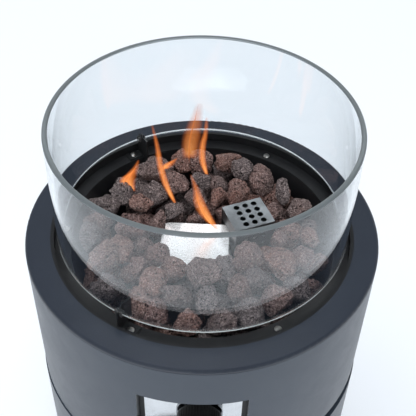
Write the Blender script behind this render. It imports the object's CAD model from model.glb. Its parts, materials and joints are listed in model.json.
"""Looks for the outdoor heater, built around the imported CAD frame. Metres, +Z up, panel facing -Y."""

import json
import math

import bmesh
import bpy
import numpy as np
from mathutils import Matrix, Vector


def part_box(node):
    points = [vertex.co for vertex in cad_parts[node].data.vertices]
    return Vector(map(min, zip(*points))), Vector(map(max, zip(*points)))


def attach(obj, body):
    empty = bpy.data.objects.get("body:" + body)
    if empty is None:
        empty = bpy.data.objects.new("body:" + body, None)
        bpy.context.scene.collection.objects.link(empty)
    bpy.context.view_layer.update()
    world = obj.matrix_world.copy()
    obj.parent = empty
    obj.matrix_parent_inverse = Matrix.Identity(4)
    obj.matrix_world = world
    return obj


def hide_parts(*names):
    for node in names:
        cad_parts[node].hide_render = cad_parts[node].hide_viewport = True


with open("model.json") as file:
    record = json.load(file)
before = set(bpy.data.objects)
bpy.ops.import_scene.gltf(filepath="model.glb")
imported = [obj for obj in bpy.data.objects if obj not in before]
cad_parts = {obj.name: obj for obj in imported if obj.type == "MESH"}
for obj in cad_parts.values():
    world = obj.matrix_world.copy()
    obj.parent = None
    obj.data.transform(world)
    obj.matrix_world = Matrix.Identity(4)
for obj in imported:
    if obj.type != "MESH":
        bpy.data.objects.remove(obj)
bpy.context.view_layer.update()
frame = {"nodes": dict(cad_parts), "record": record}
scene = bpy.context.scene

# ---- sizes taken from the frame ----

ring_lo, ring_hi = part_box("top_ring")
glass_lo, glass_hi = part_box("wind_glass")
bowl_lo, bowl_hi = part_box("fire_bowl")
burner_lo, burner_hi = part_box("burner_cover")
guard_lo, guard_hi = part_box("igniter_guard")

MM = 0.001
GLASS_WALL = 5.5 * MM
RING_GAP = 8.5 * MM  # from the glass to the edge of the ring's hole
FLANGE = 16 * MM  # width of the bowl's flange
BOWL_DRAFT = 12 * MM  # how much narrower the bowl is at its floor
BOWL_SHEET = 1.2 * MM
EDGE_ROUND = 1.9 * MM  # rounding of the glass's edges

ring_z = ring_hi[2]
drum_r = (ring_hi[0] - ring_lo[0]) / 2
glass_r = (glass_hi[0] - glass_lo[0]) / 2
ring_open = glass_r + RING_GAP
flange_r = (bowl_hi[0] - bowl_lo[0]) / 2
bowl_r = flange_r - FLANGE
floor_r = bowl_r - BOWL_DRAFT
bowl_floor = bowl_lo[2] + BOWL_SHEET
flange_z = bowl_hi[2]


# ---- small node-tree helpers ----


class Tree:
    """A new material's node tree, with short calls for the nodes used here."""

    def __init__(self, name):
        self.mat = bpy.data.materials.new(name)
        self.mat.use_nodes = True
        self.nt = self.mat.node_tree
        self.nt.nodes.clear()
        self.out = self.add("ShaderNodeOutputMaterial")
        self.coord = self.add("ShaderNodeTexCoord").outputs["Object"]

    def add(self, kind, **facts):
        node = self.nt.nodes.new(kind)
        for key, value in facts.items():
            setattr(node, key, value)
        return node

    def link(self, a, b):
        self.nt.links.new(a, b)

    def put(self, node, **values):
        """Sets or links a node's inputs by name, with _ for a space."""
        for key, value in values.items():
            socket = node.inputs[key.replace("_", " ")]
            if isinstance(value, bpy.types.NodeSocket):
                self.link(value, socket)
            else:
                socket.default_value = value
        return node

    def shader(self, **values):
        node = self.put(self.add("ShaderNodeBsdfPrincipled"), **values)
        self.link(node.outputs[0], self.out.inputs[0])
        return node

    def stretched(self, x=1.0, y=1.0, z=1.0, turn=(0.0, 0.0, 0.0)):
        node = self.add("ShaderNodeMapping")
        node.inputs["Scale"].default_value = (x, y, z)
        node.inputs["Rotation"].default_value = turn
        self.link(self.coord, node.inputs["Vector"])
        return node.outputs[0]

    def noise(self, scale, detail=3.0, rough=0.5, vector=None, distortion=0.0):
        node = self.put(
            self.add("ShaderNodeTexNoise"),
            Scale=scale,
            Detail=detail,
            Roughness=rough,
            Distortion=distortion,
        )
        self.link(vector or self.coord, node.inputs["Vector"])
        return node.outputs["Fac"]

    def cells(self, scale, vector=None, feature="F1", randomness=1.0):
        node = self.add("ShaderNodeTexVoronoi", feature=feature)
        self.put(node, Scale=scale, Randomness=randomness)
        self.link(vector or self.coord, node.inputs["Vector"])
        return node.outputs["Distance"]

    def ramp(self, fac, *stops):
        """A colour ramp through (position, colour) stops; a plain number makes a grey."""
        node = self.add("ShaderNodeValToRGB")
        elements = node.color_ramp.elements
        while len(elements) < len(stops):
            elements.new(0.5)
        for element, (place, colour) in zip(elements, stops):
            element.position = place
            grey = isinstance(colour, (int, float))
            element.color = (colour,) * 3 + (1,) if grey else tuple(colour) + (1,)
        self.link(fac, node.inputs["Fac"])
        return node.outputs["Color"]

    def span(self, fac, low, high):
        """fac from 0 to 1 as low to high."""
        node = self.add("ShaderNodeMapRange")
        self.put(node, To_Min=low, To_Max=high)
        self.link(fac, node.inputs["Value"])
        return node.outputs["Result"]

    def math(self, operation, a, b=0.0):
        node = self.add("ShaderNodeMath", operation=operation)
        for socket, value in zip(node.inputs, (a, b)):
            if isinstance(value, bpy.types.NodeSocket):
                self.link(value, socket)
            else:
                socket.default_value = value
        return node.outputs[0]

    def mix(self, fac, a, b, blend="MIX"):
        node = self.add("ShaderNodeMix", data_type="RGBA", blend_type=blend)
        for socket, value in zip((node.inputs[0], node.inputs[6], node.inputs[7]), (fac, a, b)):
            if isinstance(value, bpy.types.NodeSocket):
                self.link(value, socket)
            elif socket.type == "RGBA":
                socket.default_value = tuple(value) + (1,)
            else:
                socket.default_value = value
        return node.outputs[2]

    def bump(self, height, distance, strength=1.0, normal=None):
        node = self.put(self.add("ShaderNodeBump"), Height=height, Distance=distance, Strength=strength)
        if normal is not None:
            self.link(normal, node.inputs["Normal"])
        return node.outputs[0]


# ---- materials ----


def paint(name, dark, light, rough, peel=1.0, black_within=None):
    """Powder-coated sheet: fine orange peel, faint smudges, a slight drift in colour.
    Inside the radius black_within about Z the coat is black."""
    t = Tree(name)
    drift = t.noise(9.0, 4.0, 0.6)
    smudge = t.noise(38.0, 5.0, 0.65, distortion=0.6)
    grain = t.noise(2400.0, 2.0, 0.6)
    fine = t.noise(720.0, 3.0, 0.55)
    colour = t.mix(t.ramp(drift, (0.3, 0.0), (0.75, 1.0)), dark, light)
    colour = t.mix(t.ramp(grain, (0.35, 0.1), (0.7, 0.0)), colour, (0.0, 0.0, 0.0))
    if black_within:
        flat = t.add("ShaderNodeVectorMath", operation="LENGTH")
        t.link(t.stretched(1.0, 1.0, 0.0), flat.inputs[0])
        inside = t.math("LESS_THAN", flat.outputs["Value"], black_within)
        colour = t.mix(inside, colour, (0.006, 0.0065, 0.0075))
    roughness = t.span(smudge, rough - 0.07, rough + 0.09)
    first = t.bump(fine, 0.00022 * peel, 0.35)
    t.shader(
        Base_Color=colour,
        Roughness=roughness,
        Specular_IOR_Level=0.5,
        Normal=t.bump(grain, 0.00006 * peel, 0.5, first),
    )
    return t.mat


def brushed(name, colour, rough, along=(1.0, 1.0, 1.0), stain=0.0, metallic=1.0, groove=0.00003):
    """Brushed or drawn metal: long fine scratches along one way, with patches of duller metal."""
    t = Tree(name)
    lines = t.noise(900.0, 4.0, 0.7, vector=t.stretched(*along))
    patches = t.noise(55.0, 5.0, 0.6, distortion=0.8)
    dust = t.noise(420.0, 3.0, 0.7)
    tone = t.mix(t.ramp(patches, (0.35, 0.0), (0.75, 0.35 + stain)), colour, [c * 0.62 for c in colour])
    tone = t.mix(t.ramp(lines, (0.3, 0.22), (0.7, 0.0)), tone, [c * 0.55 for c in colour])
    t.shader(
        Base_Color=tone,
        Metallic=metallic,
        Roughness=t.span(t.math("MULTIPLY", patches, dust), rough - 0.06, rough + 0.42),
        Normal=t.bump(lines, groove, 0.6),
    )
    return t.mat


def moulded(name, colour, rough, grain_scale=1800.0, depth=0.00008):
    """Moulded plastic or rubber: fine spark-eroded grain, a little dust in the low places."""
    t = Tree(name)
    grain = t.noise(grain_scale, 3.0, 0.6)
    wear = t.noise(70.0, 4.0, 0.6)
    tone = t.mix(t.ramp(wear, (0.45, 0.0), (0.8, 0.25)), colour, [c * 2.2 + 0.004 for c in colour])
    t.shader(
        Base_Color=tone,
        Roughness=t.span(wear, rough - 0.08, rough + 0.1),
        Normal=t.bump(grain, depth, 0.5),
    )
    return t.mat


def enamel(name):
    """Heat-proof black enamel with soot and pale ash dust low in the bowl."""
    t = Tree(name)
    soot = t.noise(30.0, 5.0, 0.65, distortion=0.5)
    speck = t.cells(900.0)
    ash = t.ramp(speck, (0.0, 0.5), (0.16, 0.0))
    tone = t.mix(t.ramp(soot, (0.3, 0.0), (0.8, 1.0)), (0.0045, 0.005, 0.006), (0.014, 0.0145, 0.016))
    tone = t.mix(t.math("MULTIPLY", ash, 0.35), tone, (0.07, 0.06, 0.055))
    t.shader(
        Base_Color=tone,
        Roughness=t.span(soot, 0.26, 0.5),
        Normal=t.bump(t.noise(640.0, 3.0, 0.6), 0.00016, 0.4),
    )
    return t.mat


def lava_rock(name):
    """Porous lava: red-brown and grey-brown stones with round gas pits in two sizes."""
    t = Tree(name)
    tint = t.add("ShaderNodeAttribute", attribute_name="tint").outputs["Color"]
    patch = t.noise(46.0, 5.0, 0.62, distortion=0.4)
    crumb = t.noise(520.0, 6.0, 0.72)
    wobble = t.add("ShaderNodeVectorMath", operation="MULTIPLY_ADD")
    fine = t.add("ShaderNodeTexNoise")
    t.put(fine, Scale=260.0, Detail=2.0)
    t.link(t.coord, fine.inputs["Vector"])
    t.link(fine.outputs["Color"], wobble.inputs[0])
    wobble.inputs[1].default_value = (0.0022, 0.0022, 0.0022)
    t.link(t.coord, wobble.inputs[2])
    big = t.cells(300.0, vector=wobble.outputs[0])
    small = t.cells(640.0, vector=wobble.outputs[0])
    big_pit = t.ramp(big, (0.22, 0.0), (0.42, 1.0))
    small_pit = t.ramp(small, (0.2, 0.0), (0.42, 1.0))
    where = t.ramp(t.noise(95.0, 2.0, 0.5), (0.44, 1.0), (0.6, 0.0))
    open_big = t.mix(where, big_pit, (1.0, 1.0, 1.0))
    shade = t.math("MULTIPLY", open_big, t.span(small_pit, 0.3, 1.0))
    tone = t.mix(t.ramp(patch, (0.3, 0.0), (0.72, 1.0)), tint, t.mix(0.5, tint, (0.15, 0.135, 0.14)))
    tone = t.mix(t.ramp(crumb, (0.34, 0.75), (0.58, 0.0)), tone, (0.03, 0.018, 0.018))
    tone = t.mix(t.ramp(crumb, (0.5, 0.0), (0.68, 0.6)), tone, (0.5, 0.41, 0.39))
    tone = t.mix(t.span(shade, 1.0, 0.0), tone, (0.01, 0.006, 0.006))
    height = t.math("ADD", shade, t.math("MULTIPLY", crumb, 0.7))
    t.shader(
        Base_Color=tone,
        Roughness=0.85,
        Specular_IOR_Level=0.4,
        Normal=t.bump(height, 0.0024, 1.0),
    )
    return t.mat


def clear_glass(name, through=(0.93, 0.965, 0.96)):
    """Solid glass that bends light, with a see-through stand-in for rays from the lamps."""
    t = Tree(name)
    haze = t.noise(26.0, 5.0, 0.6)
    solid = t.put(
        t.add("ShaderNodeBsdfPrincipled"),
        Base_Color=(0.90, 0.935, 0.95, 1.0),
        Roughness=t.ramp(haze, (0.3, 0.0), (0.85, 0.03)),
        IOR=1.5,
        Transmission_Weight=1.0,
    )
    clear = t.put(t.add("ShaderNodeBsdfTransparent"), Color=tuple(through) + (1.0,))
    both = t.add("ShaderNodeMixShader")
    t.link(t.add("ShaderNodeLightPath").outputs["Is Shadow Ray"], both.inputs[0])
    t.link(solid.outputs[0], both.inputs[1])
    t.link(clear.outputs[0], both.inputs[2])
    t.link(both.outputs[0], t.out.inputs[0])
    return t.mat


def flame(name, strength):
    """Thin burning gas: yellow-orange core that thins to nothing at the ribbon's edges and tip."""
    t = Tree(name)
    heat = t.add("ShaderNodeAttribute", attribute_name="burn").outputs["Fac"]
    wisp = t.noise(90.0, 4.0, 0.6, vector=t.stretched(1.0, 1.0, 0.35), distortion=0.7)
    body = t.math("MULTIPLY", heat, t.span(wisp, 0.35, 1.45))
    colour = t.ramp(body, (0.05, (0.75, 0.16, 0.04)), (0.4, (1.0, 0.27, 0.06)), (0.95, (1.0, 0.42, 0.13)))
    glow = t.put(t.add("ShaderNodeEmission"), Color=colour, Strength=strength)
    clear = t.add("ShaderNodeBsdfTransparent")
    both = t.add("ShaderNodeMixShader")
    t.link(t.ramp(body, (0.03, 0.0), (0.85, 0.8)), both.inputs[0])
    t.link(clear.outputs[0], both.inputs[1])
    t.link(glow.outputs[0], both.inputs[2])
    t.link(both.outputs[0], t.out.inputs[0])
    return t.mat


def ground_edge(name):
    """The ground and polished rim of the glass: slightly frosted, so it holds the light."""
    t = Tree(name)
    grain = t.noise(1500.0, 3.0, 0.6)
    t.shader(
        Base_Color=(0.16, 0.19, 0.205, 1.0),
        Roughness=t.span(grain, 0.22, 0.5),
        IOR=1.5,
        Transmission_Weight=0.45,
        Normal=t.bump(grain, 0.00005, 0.4),
    )
    return t.mat


DRUM = paint("slate_powder_coat", (0.025, 0.034, 0.050), (0.031, 0.042, 0.060), 0.36)
RING = paint("ring_powder_coat", (0.014, 0.019, 0.030), (0.018, 0.024, 0.037), 0.42, 1.0, ring_open)
BLACK = paint("black_coat", (0.0065, 0.007, 0.008), (0.011, 0.012, 0.013), 0.38, 1.3)
ENAMEL = enamel("black_enamel")
ZINC = brushed("zinc_plate", (0.62, 0.62, 0.6), 0.26, (1.0, 1.0, 1.0), 0.2)
STEEL = brushed("brushed_stainless", (0.66, 0.66, 0.65), 0.24, (0.05, 1.0, 1.0), 0.1)
GUARD = brushed("guard_stainless", (0.24, 0.255, 0.27), 0.3, (0.08, 1.0, 1.0), 0.35)
PLATE = brushed("polished_plate", (0.72, 0.735, 0.75), 0.1, (1.0, 1.0, 0.04), 0.0, groove=0.00001)
BURNER = brushed("burner_plate", (0.9, 0.91, 0.93), 0.22, (0.1, 1.0, 1.0), 0.05, 0.45)
BEZEL = brushed("bezel_chrome", (0.3, 0.31, 0.33), 0.14, (1.0, 0.1, 1.0))
KNOB = moulded("knob_plastic", (0.008, 0.008, 0.009), 0.34)
BLACK_PLASTIC = moulded("black_plastic", (0.012, 0.012, 0.013), 0.5)
RUBBER = moulded("foot_rubber", (0.016, 0.016, 0.017), 0.75, 900.0, 0.0002)
SILICONE = moulded("pad_silicone", (0.03, 0.03, 0.032), 0.6, 1200.0)
BRASS = brushed("machined_brass", (0.6, 0.42, 0.17), 0.26, (1.0, 1.0, 0.1), 0.25)
ALLOY = brushed("drawn_aluminium", (0.72, 0.72, 0.72), 0.3, (0.2, 0.2, 1.0), 0.2)
COPPER = brushed("copper_sheath", (0.66, 0.32, 0.2), 0.32, (1.0, 1.0, 1.0), 0.4)
PORCELAIN = moulded("white_porcelain", (0.78, 0.76, 0.7), 0.14, 600.0, 0.00002)
LEAD = moulded("red_silicone_lead", (0.32, 0.02, 0.012), 0.45)
LAVA = lava_rock("lava_stone")
GLASS = clear_glass("tempered_glass")
EDGE = ground_edge("ground_glass_edge")
FLAME = flame("burning_gas", 1.25)
HAZE = flame("thin_burning_gas", 0.8)

FINISH = {
    "drum_paint": DRUM,
    "ring_paint": RING,
    "black_steel": BLACK,
    "bowl_enamel": ENAMEL,
    "zinc_steel": ZINC,
    "stainless": STEEL,
    "polished_steel": PLATE,
    "black_plastic": BLACK_PLASTIC,
    "brass": BRASS,
    "pipe_aluminium": ALLOY,
    "rubber": RUBBER,
    "silicone": SILICONE,
    "porcelain": PORCELAIN,
    "copper_lead": COPPER,
    "red_lead": LEAD,
    "lava": LAVA,
    "clear_glass": GLASS,
}
OWN_FINISH = {"igniter_guard": GUARD, "burner_cover": BURNER, "control_knob": KNOB, "knob_bezel": BEZEL}



def dress_nodes():
    """Gives each CAD node the finish of its own, or its slot's."""
    for part in frame["record"]["subparts"]:
        mesh = frame["nodes"][part["node"]].data
        finish = OWN_FINISH.get(part["node"], FINISH[part["material_slot"]])
        for place in range(max(1, len(mesh.materials))):
            if place < len(mesh.materials):
                mesh.materials[place] = finish
            else:
                mesh.materials.append(finish)


dress_nodes()


# ---- mesh helpers ----


def new_mesh(name, verts, faces, material, smooth=True):
    """A linked object made of these points and faces."""
    mesh = bpy.data.meshes.new(name)
    mesh.from_pydata([tuple(v) for v in verts], [], faces)
    mesh.update()
    if smooth:
        mesh.polygons.foreach_set("use_smooth", [True] * len(mesh.polygons))
    obj = bpy.data.objects.new(name, mesh)
    scene.collection.objects.link(obj)
    mesh.materials.append(material)
    return obj


def lathe(name, outline, steps, material):
    """A closed outline of (radius, height) points turned about Z."""
    count = len(outline)
    verts = [
        (r * math.cos(2 * math.pi * i / steps), r * math.sin(2 * math.pi * i / steps), z)
        for i in range(steps)
        for r, z in outline
    ]
    faces = []
    for i in range(steps):
        this, after = i * count, (i + 1) % steps * count
        for j in range(count):
            k = (j + 1) % count
            faces.append((this + j, after + j, after + k, this + k))
    return new_mesh(name, verts, faces, material)


def rounded(corners, radius, arc=5, hold=0.0004):
    """A closed outline with each corner turned into an arc, and the flats held flat beside it."""
    points = []
    count = len(corners)
    for i, corner in enumerate(corners):
        here = Vector(corner)
        back = (Vector(corners[i - 1]) - here).normalized()
        on = (Vector(corners[(i + 1) % count]) - here).normalized()
        centre = here + (back + on) * radius
        start, end = here + back * radius - centre, here + on * radius - centre
        points.append(tuple(here + back * (radius + hold)))
        for k in range(arc + 1):
            turn = k / arc
            arm = (start * (1 - turn) + end * turn).normalized() * radius
            points.append(tuple(centre + arm))
        points.append(tuple(here + on * (radius + hold)))
    return points


# ---- the glass, with ground and polished edges ----

GLASS_STEPS = 256
GROUND_AT_TOP = 2.1 * MM
GROUND_AT_FOOT = 0.5 * MM
glass = lathe(
    "glass_cylinder",
    rounded(
        [
            (glass_r, glass_lo[2]),
            (glass_r, glass_hi[2]),
            (glass_r - GLASS_WALL, glass_hi[2]),
            (glass_r - GLASS_WALL, glass_lo[2]),
        ],
        EDGE_ROUND,
    ),
    GLASS_STEPS,
    GLASS,
)
glass.data.materials.append(EDGE)
for face in glass.data.polygons:
    near_top = glass_hi[2] - face.center.z
    near_foot = face.center.z - glass_lo[2]
    if near_top < GROUND_AT_TOP or near_foot < GROUND_AT_FOOT:
        face.material_index = 1
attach(glass, "glass")
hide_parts("wind_glass")


# ---- lava stones ----

rng = np.random.default_rng(11)


def lattice_noise(points, seed):
    """Smooth value noise from -1 to 1 at an array of points."""
    cell = np.floor(points).astype(np.int64)
    part = points - cell
    part = part * part * (3 - 2 * part)
    total = np.zeros(len(points))
    for corner in range(8):
        step = np.array([corner & 1, corner >> 1 & 1, corner >> 2])
        at = cell + step
        mixed = (at[:, 0] * 73856093) ^ (at[:, 1] * 19349663) ^ (at[:, 2] * 83492791)
        mixed ^= seed * 2654435
        mixed = (mixed ^ (mixed >> 13)) * 1274126177 & 0xFFFFFFFF
        mixed = (mixed ^ (mixed >> 16)) & 0xFFFF
        weight = np.prod(np.where(step == 1, part, 1 - part), axis=1)
        total += weight * (mixed / 32767.5 - 1)
    return total


def pits(directions, seed, count, size):
    """Depth from 0 to 1 of round pits scattered over a ball of directions."""
    own = np.random.default_rng(seed)
    centres = own.normal(size=(count, 3))
    centres /= np.linalg.norm(centres, axis=1)[:, None]
    reach = own.uniform(0.6, 1.25, count) * size
    near = np.linalg.norm(directions[:, None, :] - centres[None], axis=2) / reach
    return np.clip(1 - near.min(axis=1), 0, 1)


def icosphere(levels):
    """Points and faces of a unit ball."""
    ball = bmesh.new()
    bmesh.ops.create_icosphere(ball, subdivisions=levels, radius=1.0)
    verts = np.array([v.co[:] for v in ball.verts])
    faces = [[v.index for v in f.verts] for f in ball.faces]
    ball.free()
    return verts, faces


BALL, BALL_FACES = icosphere(5)


def stone(seed, size):
    """A lava stone's points about its own middle: a lumpy, broken ball of that half-size."""
    own = np.random.default_rng(seed)
    shape = BALL.copy()
    bulge = 1 + 0.34 * lattice_noise(BALL * 1.15 + 7, seed) + 0.17 * lattice_noise(BALL * 2.6, seed + 1)
    shape *= bulge[:, None]
    for _ in range(own.integers(7, 12)):
        way = own.normal(size=3)
        way /= np.linalg.norm(way)
        limit = own.uniform(0.56, 0.9)
        over = shape @ way - limit
        soft = np.where(over > 0, over * 0.82, 0)
        shape -= soft[:, None] * way
    rough = 0.055 * lattice_noise(BALL * 6.5, seed + 2) + 0.03 * lattice_noise(BALL * 15, seed + 3)
    rough -= 0.075 * pits(BALL, seed + 4, 46, 0.17) ** 0.7
    rough -= 0.05 * pits(BALL, seed + 5, 150, 0.085) ** 0.7
    shape += BALL * rough[:, None]
    stretch = own.uniform(0.72, 1.3, 3)
    shape *= stretch / np.cbrt(np.prod(stretch))
    a, b, c = own.uniform(0, 2 * math.pi, 3)
    turn = np.array([[math.cos(a), -math.sin(a), 0], [math.sin(a), math.cos(a), 0], [0, 0, 1]])
    tip = np.array([[1, 0, 0], [0, math.cos(b), -math.sin(b)], [0, math.sin(b), math.cos(b)]])
    spin = np.array([[math.cos(c), 0, math.sin(c)], [0, 1, 0], [-math.sin(c), 0, math.cos(c)]])
    return shape @ (turn @ tip @ spin).T * size


def wall_r(z):
    """The bowl's inner radius at a height."""
    return floor_r + (bowl_r - floor_r) * np.clip((z - bowl_floor) / (flange_z - bowl_floor), 0, 1)


burner_mid = ((burner_lo[0] + burner_hi[0]) / 2, (burner_lo[1] + burner_hi[1]) / 2)
guard_mid = ((guard_lo[0] + guard_hi[0]) / 2, (guard_lo[1] + guard_hi[1]) / 2)
GUARD_TURN = math.radians(24)
GUARD_HALF = (24.5 * MM, 21.5 * MM)
BURNER_HALF = (42 * MM, 35 * MM)
FIRE_MID = (-8 * MM, -4 * MM)  # where the flames come up, kept clear of stones
FIRE_HALF = (26 * MM, 14 * MM)
NESTLE = 0.93  # how close two dropped stones lie, as a share of their radii
UNDER = 0.86  # the same between a dropped stone and one on top
heap_top = ring_z - 6 * MM


def box_gap(x, y, mid, half, turn=0.0):
    """How far a point lies outside an upright box; negative inside."""
    dx, dy = x - mid[0], y - mid[1]
    u = dx * math.cos(turn) + dy * math.sin(turn)
    v = dy * math.cos(turn) - dx * math.sin(turn)
    over = np.maximum(np.abs([u, v]) - np.array(half), 0)
    inside = max(abs(u) - half[0], abs(v) - half[1])
    return float(np.hypot(*over)) if inside > 0 else inside


def resting_height(x, y, r, placed):
    """The lowest height at which a ball of radius r rests at x, y, or None where it may not lie."""
    guard_gap = box_gap(x, y, guard_mid, GUARD_HALF, GUARD_TURN)
    if guard_gap < r * 0.92:
        return None
    z = bowl_floor + r
    burner_gap = box_gap(x, y, burner_mid, BURNER_HALF)
    if burner_gap < r:
        if box_gap(x, y, FIRE_MID, FIRE_HALF) < r * 0.95:
            return None
        rise = math.sqrt(max(r * r - max(burner_gap, 0) ** 2, 0))
        z = burner_hi[2] + rise * 0.9
    for px, py, pz, pr in placed:
        flat = (x - px) ** 2 + (y - py) ** 2
        reach = (r + pr) * NESTLE
        if flat < reach * reach:
            z = max(z, pz + math.sqrt(reach * reach - flat))
    if math.hypot(x, y) > wall_r(z) - r * 0.9:
        return None
    return z


# Arcs of stones that lie on top, in mm and degrees from +X towards the back:
# radius of the arc, its first and last angle, how many stones, their half-size, height of their middles
TOP_ARCS = [
    (122, -12, 55, 5, 15, 648),
    (122, 65, 120, 5, 16, 654),
    (122, 150, 205, 4, 16, 648),
    (90, 0, 80, 5, 14, 648),
    (88, 95, 175, 5, 15, 650),
    (60, 75, 160, 4, 13, 647),
    (125, 222, 328, 8, 17, 643),
    (92, 195, 340, 8, 16, 645),
    (58, 215, 325, 5, 16, 650),
]


def top_stones():
    """Each arc's stones, none of them quite in line or quite alike; the igniter guard stays clear."""
    found = []
    for arc_r, first, last, count, half, height in TOP_ARCS:
        for k in range(count):
            angle = math.radians(first + (last - first) * k / (count - 1) + rng.uniform(-3, 3))
            far = (arc_r + rng.uniform(-6, 6)) * MM
            r = half * rng.uniform(0.82, 1.2) * MM
            z = (height + rng.uniform(-3, 3)) * MM
            x, y = far * math.cos(angle), far * math.sin(angle)
            if box_gap(x, y, guard_mid, GUARD_HALF, GUARD_TURN) > r * 0.92:
                found.append((x, y, z, r))
    return found


DROPS, TRIES = 230, 60
DROP_HALF = (0.0125, 0.0225)


def heap():
    """The stones on top, then others dropped one after another under and between them,
    each where it comes to lie lowest."""
    top = top_stones()
    placed = []
    for _ in range(DROPS):
        r = float(rng.uniform(*DROP_HALF))
        best = None
        for _ in range(TRIES):
            far = bowl_r * math.sqrt(rng.uniform(0, 1))
            angle = rng.uniform(0, 2 * math.pi)
            x, y = far * math.cos(angle), far * math.sin(angle)
            z = resting_height(x, y, r, placed)
            if z is None or best is not None and z >= best[2]:
                continue
            if all(math.dist((x, y, z), each[:3]) > (r + each[3]) * UNDER for each in top):
                best = (x, y, z, r)
        if best and best[2] + best[3] * 0.8 < heap_top:
            placed.append(best)
    return top + placed


TINTS = [
    (0.185, 0.094, 0.082),
    (0.225, 0.104, 0.080),
    (0.150, 0.098, 0.092),
    (0.140, 0.112, 0.114),
    (0.195, 0.112, 0.100),
    (0.125, 0.098, 0.100),
    (0.240, 0.120, 0.095),
]
GROUPS = 8
FIRST_SEED, SEED_STEP = 1000, 17


def pile_up(stones, group):
    """Every GROUPS-th stone, joined as one piece, each with its own tint."""
    verts, faces, tints = [], [], []
    for number, (x, y, z, r) in enumerate(stones):
        if number % GROUPS != group:
            continue
        shape = stone(FIRST_SEED + number * SEED_STEP, r) + np.array([x, y, z])
        base = len(verts)
        verts.extend(shape)
        faces.extend([[base + k for k in face] for face in BALL_FACES])
        tints.extend([TINTS[number % len(TINTS)]] * len(shape))
    pile = new_mesh("lava_stones_%d" % group, verts, faces, LAVA)
    layer = pile.data.color_attributes.new("tint", "FLOAT_COLOR", "POINT")
    layer.data.foreach_set("color", [c for tint in tints for c in (*tint, 1.0)])
    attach(pile, "stand")
    return pile


heaped = heap()
for group in range(GROUPS):
    pile = pile_up(heaped, group)
    if group == 0:
        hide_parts("lava_rocks")


# ---- flames ----


def ribbon(name, path, widths, material, turn=0.0):
    """A flame: two thin ribbons crossed along a path, hot in the middle, cool at edges and tip."""
    steps, across = 28, 8
    path = [Vector(p) * MM for p in path]
    spans = len(path) - 1
    verts, faces, heat = [], [], []

    def at(values, t):
        """A smooth curve through values, which may be numbers or vectors."""
        k = min(int(t * spans), spans - 1)
        u = t * spans - k
        p0, p1 = values[max(k - 1, 0)], values[k]
        p2, p3 = values[k + 1], values[min(k + 2, spans)]
        a = 2 * p1 + (p2 - p0) * u + (2 * p0 - 5 * p1 + 4 * p2 - p3) * u * u
        return (a + (3 * p1 - p0 - 3 * p2 + p3) * u * u * u) * 0.5

    for side in (0.0, math.pi / 2):
        base = len(verts)
        way = Vector((math.cos(turn + side), math.sin(turn + side), 0))
        bow = Vector((-way.y, way.x, 0))
        for i in range(steps + 1):
            t = i / steps
            middle, half = at(path, t), at(widths, t) * MM * (1.0 if side == 0 else 0.55)
            for j in range(across + 1):
                s = 2 * j / across - 1
                verts.append(middle + way * half * s + bow * half * 0.35 * (1 - s * s))
                fade = min(1.0, t / 0.12) * (1 - t) ** 0.55
                heat.append((1 - s * s) ** 1.3 * fade)
        for i in range(steps):
            for j in range(across):
                a = base + i * (across + 1) + j
                faces.append((a, a + 1, a + across + 2, a + across + 1))
    obj = new_mesh(name, verts, faces, material)
    layer = obj.data.attributes.new("burn", "FLOAT", "POINT")
    layer.data.foreach_set("value", heat)
    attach(obj, "stand")
    obj.visible_shadow = False
    return obj


def tongue(name, foot, rise, lean, sway, widths, material):
    """A flame from its foot upwards, leaning over in X with one bend on the way; all in mm."""
    path = []
    for k in range(5):
        t = k / 4
        x = foot[0] + lean * t + sway * math.sin(1.5 * math.pi * t)
        path.append((x, foot[1], foot[2] + rise * t))
    low, middle, tip = widths
    return ribbon(name, path, [low, middle, middle, (middle + tip) / 2, tip], material)


tongue("flame_left", (-88, 65, 648), 52, 4, -5, (4, 8, 1.5), FLAME)
tongue("flame_left_lobe", (-94, 65, 655), 32, 6, -5, (3, 7, 1), FLAME)
tongue("flame_tall", (-34, 50, 643), 122, -30, -4, (2, 5, 2), FLAME)
tongue("flame_lick", (-52, 88, 666), 20, 16, -1, (4, 7, 1), FLAME)
tongue("flame_near", (18, 14, 640), 86, -38, -5, (2.5, 8, 1.5), FLAME)
tongue("flame_back", (2, 96, 650), 94, -8, -5, (2, 5, 2.5), FLAME)
tongue("flame_veil", (-20, 96, 676), 86, 8, -2, (10, 12, 6), HAZE)


# ---- stage ----


FLOOR_HALF = 14.0


def floor_plane():
    """A plain pale floor under the object."""
    t = Tree("pale_floor")
    t.shader(Base_Color=(0.82, 0.865, 0.92, 1.0), Roughness=0.8, Specular_IOR_Level=0.2)
    corners = [(x * FLOOR_HALF, y * FLOOR_HALF, 0) for x, y in ((-1, -1), (1, -1), (1, 1), (-1, 1))]
    return new_mesh("floor", corners, [(0, 1, 2, 3)], t.mat, smooth=False)


floor_plane()


def soft_light(name, place, aim, size, power):
    """A large lamp that leaves no bright patch in the gloss."""
    lamp = bpy.data.lights.new(name, "AREA")
    lamp.shape = "RECTANGLE"
    lamp.size, lamp.size_y = size
    lamp.energy = power
    obj = bpy.data.objects.new(name, lamp)
    obj.location = place
    obj.rotation_euler = (Vector(aim) - Vector(place)).to_track_quat("-Z", "Y").to_euler()
    obj.visible_glossy = False
    scene.collection.objects.link(obj)


middle = (0, 0, ring_z)
soft_light("overhead", (-0.6, -0.8, 4.6), middle, (4.0, 4.0), 175)
soft_light("front", (0.4, -4.2, 2.6), (0, -0.6, 0), (3.0, 2.0), 90)
soft_light("behind", (0.0, 3.6, 3.4), (0, 2.2, 0), (4.5, 2.0), 62)


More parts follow.
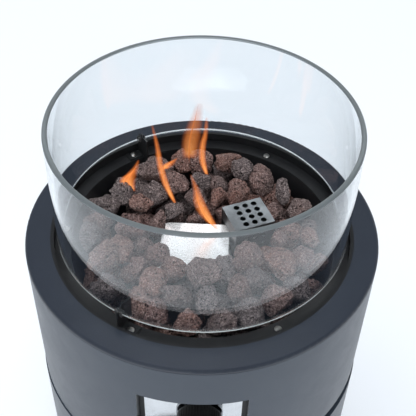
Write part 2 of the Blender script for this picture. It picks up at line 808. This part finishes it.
def studio_world():
    """A light tent: bright at the horizon, darker overhead."""
    world = bpy.data.worlds.new("studio")
    scene.world = world
    world.use_nodes = True
    tree = world.node_tree
    coord = tree.nodes.new("ShaderNodeTexCoord")
    split = tree.nodes.new("ShaderNodeSeparateXYZ")
    ramp = tree.nodes.new("ShaderNodeValToRGB")
    tree.links.new(coord.outputs["Generated"], split.inputs[0])
    tree.links.new(split.outputs["Z"], ramp.inputs["Fac"])
    stops = ramp.color_ramp.elements
    stops[0].position, stops[0].color = 0.0, (1.0, 1.0, 1.0, 1.0)
    stops[1].position, stops[1].color = 0.6, (0.27, 0.285, 0.3, 1.0)
    tree.links.new(ramp.outputs["Color"], tree.nodes["Background"].inputs["Color"])


studio_world()
scene.view_settings.view_transform = "Standard"


# ---- camera ----

LENS = 68.29
SENSOR = 36.0
TILT = 0.7619
ROLL = 0.0273
PAN = math.radians(2) - 0.0089
CAMERA_R = 3.1976 * drum_r
CAMERA_H = 3.1862 * drum_r
STAND_TURN = math.radians(2)


def place_camera():
    """Stands in front and above, tilted down, then panned about Z and rolled a little."""
    data = bpy.data.cameras.new("camera")
    data.lens = LENS
    data.sensor_width = SENSOR
    data.clip_start, data.clip_end = 0.01, 100.0
    camera = bpy.data.objects.new("camera", data)
    scene.collection.objects.link(camera)
    forward = Vector((0, math.cos(TILT), -math.sin(TILT)))
    right = Vector((1, 0, 0))
    up = right.cross(forward)
    for axis in (forward, right, up):
        x, y = axis.x, axis.y
        axis.x = x * math.cos(PAN) - y * math.sin(PAN)
        axis.y = x * math.sin(PAN) + y * math.cos(PAN)
    across = right * math.cos(ROLL) + up * math.sin(ROLL)
    above = up * math.cos(ROLL) - right * math.sin(ROLL)
    place = (
        CAMERA_R * math.sin(STAND_TURN),
        -CAMERA_R * math.cos(STAND_TURN),
        ring_z + CAMERA_H,
    )
    rows = [(across[i], above[i], -forward[i], place[i]) for i in range(3)]
    camera.matrix_world = Matrix(rows + [(0, 0, 0, 1)])
    scene.camera = camera


place_camera()
